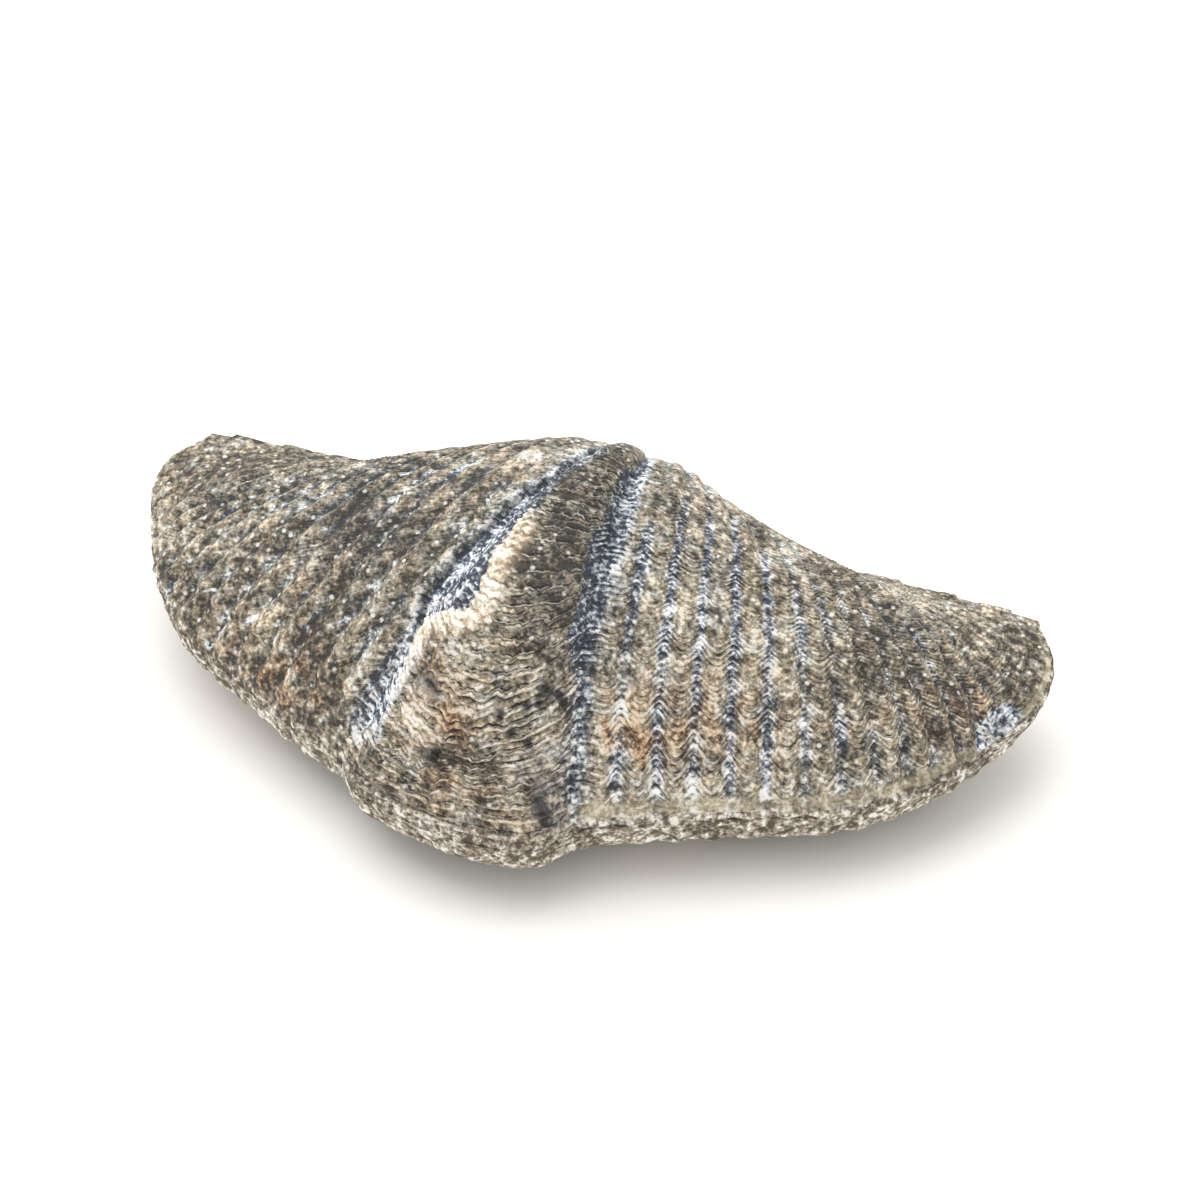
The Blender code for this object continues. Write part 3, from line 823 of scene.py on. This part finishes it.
def add(tree, kind, inputs=(), output=0, stops=(), **settings):
    """A node with its settings, its sockets set or linked and its ramp's stops; gives one output."""
    made = tree.nodes.new(kind)
    for name, value in settings.items():
        setattr(made, name, value)
    for name, value in dict(inputs).items():
        if isinstance(value, bpy.types.NodeSocket):
            tree.links.new(value, made.inputs[name])
        else:
            made.inputs[name].default_value = value
    if stops:
        ramp = made.color_ramp
        while len(ramp.elements) < len(stops):
            ramp.elements.new(0.5)
        for element, (place, colour) in zip(ramp.elements, stops):
            element.position, element.color = place, linear(colour)
    return made.outputs[output]


# %% [markdown]
# Two values carry nearly all of the look. The tone is the relief from pits to peaks, plus
# noise of 3 mm for blotches and of 0.45 and 0.22 mm for grains too small for the mesh. The
# phase runs from 0 at the root of a lamella to 1 at its edge, and wanders a little with the
# grain. Each finish is a ramp over the tone and lies over those before it as far as its mask
# says, so the same grains show through all of them and only their colour changes.

# %% Weathered fossil calcite
STONE = ((0.08, "#34312b"), (0.30, "#666054"), (0.50, "#8d8576"), (0.66, "#a8a090"),
         (0.82, "#cbc4b6"), (0.98, "#ece7dd"))
PALE_EDGE = ((0.60, "#000000"), (0.82, "#ffffff"), (0.97, "#666666"))
DARK_GAP = ((0.04, "#ffffff"), (0.32, "#000000"))
FINISHES = (   # mask, its share, and the ramp over the tone
    # mud in the grooves, turned to a blue-grey stone with white crystals in it
    ("sediment", 0.9, ((0.15, "#282d35"), (0.38, "#4f5965"), (0.58, "#868f99"),
                       (0.78, "#d6dade"), (0.9, "#f6f7f7"))),
    # iron that seeped in, orange on the crests
    ("rust", 0.8, ((0.15, "#38271b"), (0.45, "#7c573a"), (0.65, "#ad8660"), (0.9, "#d8bd9a"))),
    # thick shell that still has a dull purple cast
    ("purple", 0.7, ((0.2, "#262126"), (0.5, "#5f5759"), (0.8, "#978d8a"))),
    # freshly broken shell, the warmest and palest of all
    ("cream", 1.0, ((0.1, "#9c8870"), (0.4, "#ccba9e"), (0.6, "#e5d7c0"), (0.8, "#faf4e8"))),
    # broken calcite, white crystals over blue shadows
    ("calcite", 1.0, ((0.2, "#343e4c"), (0.38, "#7e8a99"), (0.52, "#c9d0d6"), (0.7, "#f6f7f6"))),
    # the rim's crust, speckled brown and white
    ("crust", 1.0, ((0.15, "#51473b"), (0.4, "#8e8272"), (0.6, "#bab2a3"), (0.8, "#eeebe4"))),
    # the last lamellae, worn to an even olive band, and the hinge's flat back
    ("smooth", 0.9, ((0.1, "#867c66"), (0.5, "#aca188"), (0.9, "#d2c9b4"))),
    # gaps and pits too deep for light
    ("crack", 0.9, ((0.2, "#191b20"), (0.9, "#3a3c42"))))


def stone_tone(tree, masks, noises):
    """The relief, a quarter of the shade, and three sizes of noise in their shares."""
    tone = add(tree, "ShaderNodeMath", {0: masks["shade"], 1: 0.25, 2: masks["relief"]},
               operation="MULTIPLY_ADD")
    for noise, share in zip(noises, (0.7, 1.6, 1.6)):
        centred = add(tree, "ShaderNodeMath", {0: noise, 1: 0.5}, operation="SUBTRACT")
        tone = add(tree, "ShaderNodeMath", {0: centred, 1: share, 2: tone}, operation="MULTIPLY_ADD")
    return tone


def lamella_lines(tree, colour, edge, noise):
    """A pale line on each lamella's edge before the dark gap under the next one, both broken."""
    lines = add(tree, "ShaderNodeAttribute", output="Vector", attribute_name="growth_lines")
    count = add(tree, "ShaderNodeSeparateXYZ", {"Vector": lines}, output="Y")
    count = add(tree, "ShaderNodeMath", {0: noise, 1: 1.2, 2: count}, operation="MULTIPLY_ADD")
    phase = add(tree, "ShaderNodeMath", {0: count}, operation="FRACT")
    broken = add(tree, "ShaderNodeValToRGB", {"Fac": noise}, stops=((0.38, "#222222"), (0.58, "#ffffff")))
    for stops, hex_code in ((PALE_EDGE, "#d4cdbf"), (DARK_GAP, "#35322d")):
        line = add(tree, "ShaderNodeValToRGB", {"Fac": phase}, stops=stops)
        for factor in (edge, broken, 0.5):
            line = add(tree, "ShaderNodeMath", {0: line, 1: factor}, operation="MULTIPLY")
        line = add(tree, "ShaderNodeClamp", {0: line})
        colour = add(tree, "ShaderNodeMix", {0: line, 6: colour, 7: linear(hex_code)}, 2,
                     data_type="RGBA")
    return colour


def crystal_share(tree, here):
    """Crystals a fifth of a millimetre wide, in one of four cells of a Voronoi pattern."""
    cells = {output: add(tree, "ShaderNodeTexVoronoi", {"Vector": here, "Scale": 1000.0 / 0.45}, output)
             for output in ("Distance", "Color")}
    crystal = add(tree, "ShaderNodeValToRGB", {"Fac": cells["Distance"]},
                  stops=((0.18, "#ffffff"), (0.34, "#000000")))
    chosen = add(tree, "ShaderNodeSeparateColor", {0: cells["Color"]})
    chosen = add(tree, "ShaderNodeValToRGB", {"Fac": chosen}, stops=((0.74, "#000000"), (0.80, "#ffffff")))
    for factor in (chosen, 0.8):
        crystal = add(tree, "ShaderNodeMath", {0: crystal, 1: factor}, operation="MULTIPLY")
    return crystal


def weathered_calcite():
    """Tan stone with lamellae, and each finish over the last, the crystals after the sediment."""
    material = bpy.data.materials.new("weathered_fossil_calcite")
    material.use_nodes = True
    tree = material.node_tree
    here = add(tree, "ShaderNodeTexCoord", output="Object")
    masks = {name: add(tree, "ShaderNodeAttribute", output="Fac", attribute_name=name)
             for name in ("relief", "shade", "edge", *(finish[0] for finish in FINISHES))}
    *grain, patch = [add(tree, "ShaderNodeTexNoise", {"Vector": here, "Scale": 1000.0 / size_mm,
                     "Detail": 2.0, "Roughness": 0.6}, output="Fac") for size_mm in (3.0, 0.45, 0.22, 1.0)]
    tone = stone_tone(tree, masks, grain)

    # stone is never one hue: patches of a millimetre lean to warm or to cool
    colour = add(tree, "ShaderNodeValToRGB", {"Fac": tone}, stops=STONE)
    hue = add(tree, "ShaderNodeValToRGB", {"Fac": patch},
              stops=((0.36, "#fbecd8"), (0.5, "#f7f2e8"), (0.64, "#e4ecf2")))
    colour = add(tree, "ShaderNodeMix", {0: 0.8, 6: colour, 7: hue}, 2, data_type="RGBA",
                 blend_type="MULTIPLY")
    colour = lamella_lines(tree, colour, masks["edge"], grain[1])

    for name, share, stops in FINISHES:
        finish = add(tree, "ShaderNodeValToRGB", {"Fac": tone}, stops=stops)
        covered = add(tree, "ShaderNodeMath", {0: masks[name], 1: share}, operation="MULTIPLY",
                      use_clamp=True)
        colour = add(tree, "ShaderNodeMix", {0: covered, 6: colour, 7: finish}, 2, data_type="RGBA")
        if name == "sediment":
            colour = add(tree, "ShaderNodeMix", {0: crystal_share(tree, here), 6: colour,
                         7: linear("#ebe8e1")}, 2, data_type="RGBA")

    # grains too fine for the mesh, raised by up to a tenth of a millimetre
    bump = add(tree, "ShaderNodeBump", {"Height": tone, "Distance": 0.08 * MM, "Strength": 0.8})
    shader = tree.nodes["Principled BSDF"]
    tree.links.new(colour, shader.inputs["Base Color"])
    tree.links.new(bump, shader.inputs["Normal"])
    # weathered grains point every way, so the shine of calcite is spread to a dull sheen
    shader.inputs["Roughness"].default_value = 0.72
    shader.inputs["IOR"].default_value = 1.55
    return material


stone = weathered_calcite()
for valve in (upper_valve, lower_valve):
    valve.data.materials.append(stone)
print("material:", stone.name, len(stone.node_tree.nodes), "nodes")

# %% [markdown]
# ## Floor, light and camera
# White paper under a large soft light from the upper left and behind, with a paler fill all
# round. The camera is a long lens, a quarter of a metre away and well above.

# %% Floor
FLOOR_REACH = 1.5                    # metres from the middle to each edge
floor_mesh = bpy.data.meshes.new("floor")
floor_mesh.from_pydata([(x * FLOOR_REACH, y * FLOOR_REACH, 0)
                        for x, y in ((-1, -1), (1, -1), (1, 1), (-1, 1))], [], [(0, 1, 2, 3)])
floor = bpy.data.objects.new("floor", floor_mesh)
bpy.context.scene.collection.objects.link(floor)
paper = bpy.data.materials.new("matt_white_paper")
paper.use_nodes = True
paper.node_tree.nodes["Principled BSDF"].inputs["Base Color"].default_value = linear("#f8f5f1")
paper.node_tree.nodes["Principled BSDF"].inputs["Roughness"].default_value = 0.9
floor_mesh.materials.append(paper)
print("floor, m across:", 2 * FLOOR_REACH)

# %% Camera


def placed_along(x_way, y_way, z_way, place):
    """The matrix whose columns are three directions and a place."""
    columns = np.stack([x_way, y_way, z_way, place], axis=1)
    return Matrix([*columns.tolist(), (0.0, 0.0, 0.0, 1.0)])


AZIMUTH, ELEVATION, ROLL, DISTANCE = np.radians(18.43), np.radians(41.0), np.radians(0.19), 0.240
TARGET = HINGE_MIDDLE + np.array([0.0, -7.2 * MM, 0.0])
FRAME = 1200.0                       # pixels along a side of the frame
PIXELS_PER_METRE, TARGET_PIXEL = 19500.0, (563.9, 598.2)    # at the target, and where it falls
SENSOR = 36.0
back = np.array([np.sin(AZIMUTH) * np.cos(ELEVATION), -np.cos(AZIMUTH) * np.cos(ELEVATION),
                 np.sin(ELEVATION)])
level = np.array([np.cos(AZIMUTH), np.sin(AZIMUTH), 0.0])
right = level * np.cos(ROLL) + np.cross(back, level) * np.sin(ROLL)
up = np.cross(back, right)
lens = bpy.data.cameras.new("camera")
lens.sensor_width = lens.sensor_height = SENSOR
lens.lens = SENSOR * DISTANCE * PIXELS_PER_METRE / FRAME
lens.shift_x = (FRAME / 2 - TARGET_PIXEL[0]) / FRAME
lens.shift_y = -(FRAME / 2 - TARGET_PIXEL[1]) / FRAME
lens.clip_start, lens.clip_end = 0.01, 10.0
camera = bpy.data.objects.new("camera", lens)
bpy.context.scene.collection.objects.link(camera)
bpy.context.scene.camera = camera
camera.matrix_world = placed_along(right, up, back, TARGET + DISTANCE * back)
print("lens, mm:", round(lens.lens, 1))

# %% Light


def soft_light(name, direction, distance, size, power):
    """A square area light that looks at the shell from a direction."""
    data = bpy.data.lights.new(name, "AREA")
    data.shape, data.size, data.energy = "SQUARE", size, power
    light = bpy.data.objects.new(name, data)
    bpy.context.scene.collection.objects.link(light)
    toward = direction / np.linalg.norm(direction)
    side_way = np.cross([0.0, 0.0, 1.0], toward)
    side_way /= np.linalg.norm(side_way)
    up_way = np.cross(toward, side_way)
    light.matrix_world = placed_along(side_way, up_way, toward, toward * distance)
    return light


ahead = -np.array([back[0], back[1], 0.0]) / np.hypot(back[0], back[1])
from_upper_left = -0.25 * right + 0.35 * ahead + np.array([0, 0, 1.0])
window = soft_light("window", from_upper_left, distance=0.9, size=1.1, power=6.5)
print("window light at, m:", [round(v, 2) for v in window.matrix_world.translation])
world = bpy.data.worlds.new("studio")
world.use_nodes = True
world.node_tree.nodes["Background"].inputs["Color"].default_value = linear("#ffffff")
world.node_tree.nodes["Background"].inputs["Strength"].default_value = 1.0
scene = bpy.context.scene
scene.world = world
scene.view_settings.view_transform = "Standard"

# %% [markdown]
# ## Finish
# The view layer is updated, so that every placement above takes effect. The visible
# model has to fill the imported model's box.

# %% Finish
bpy.context.view_layer.update()
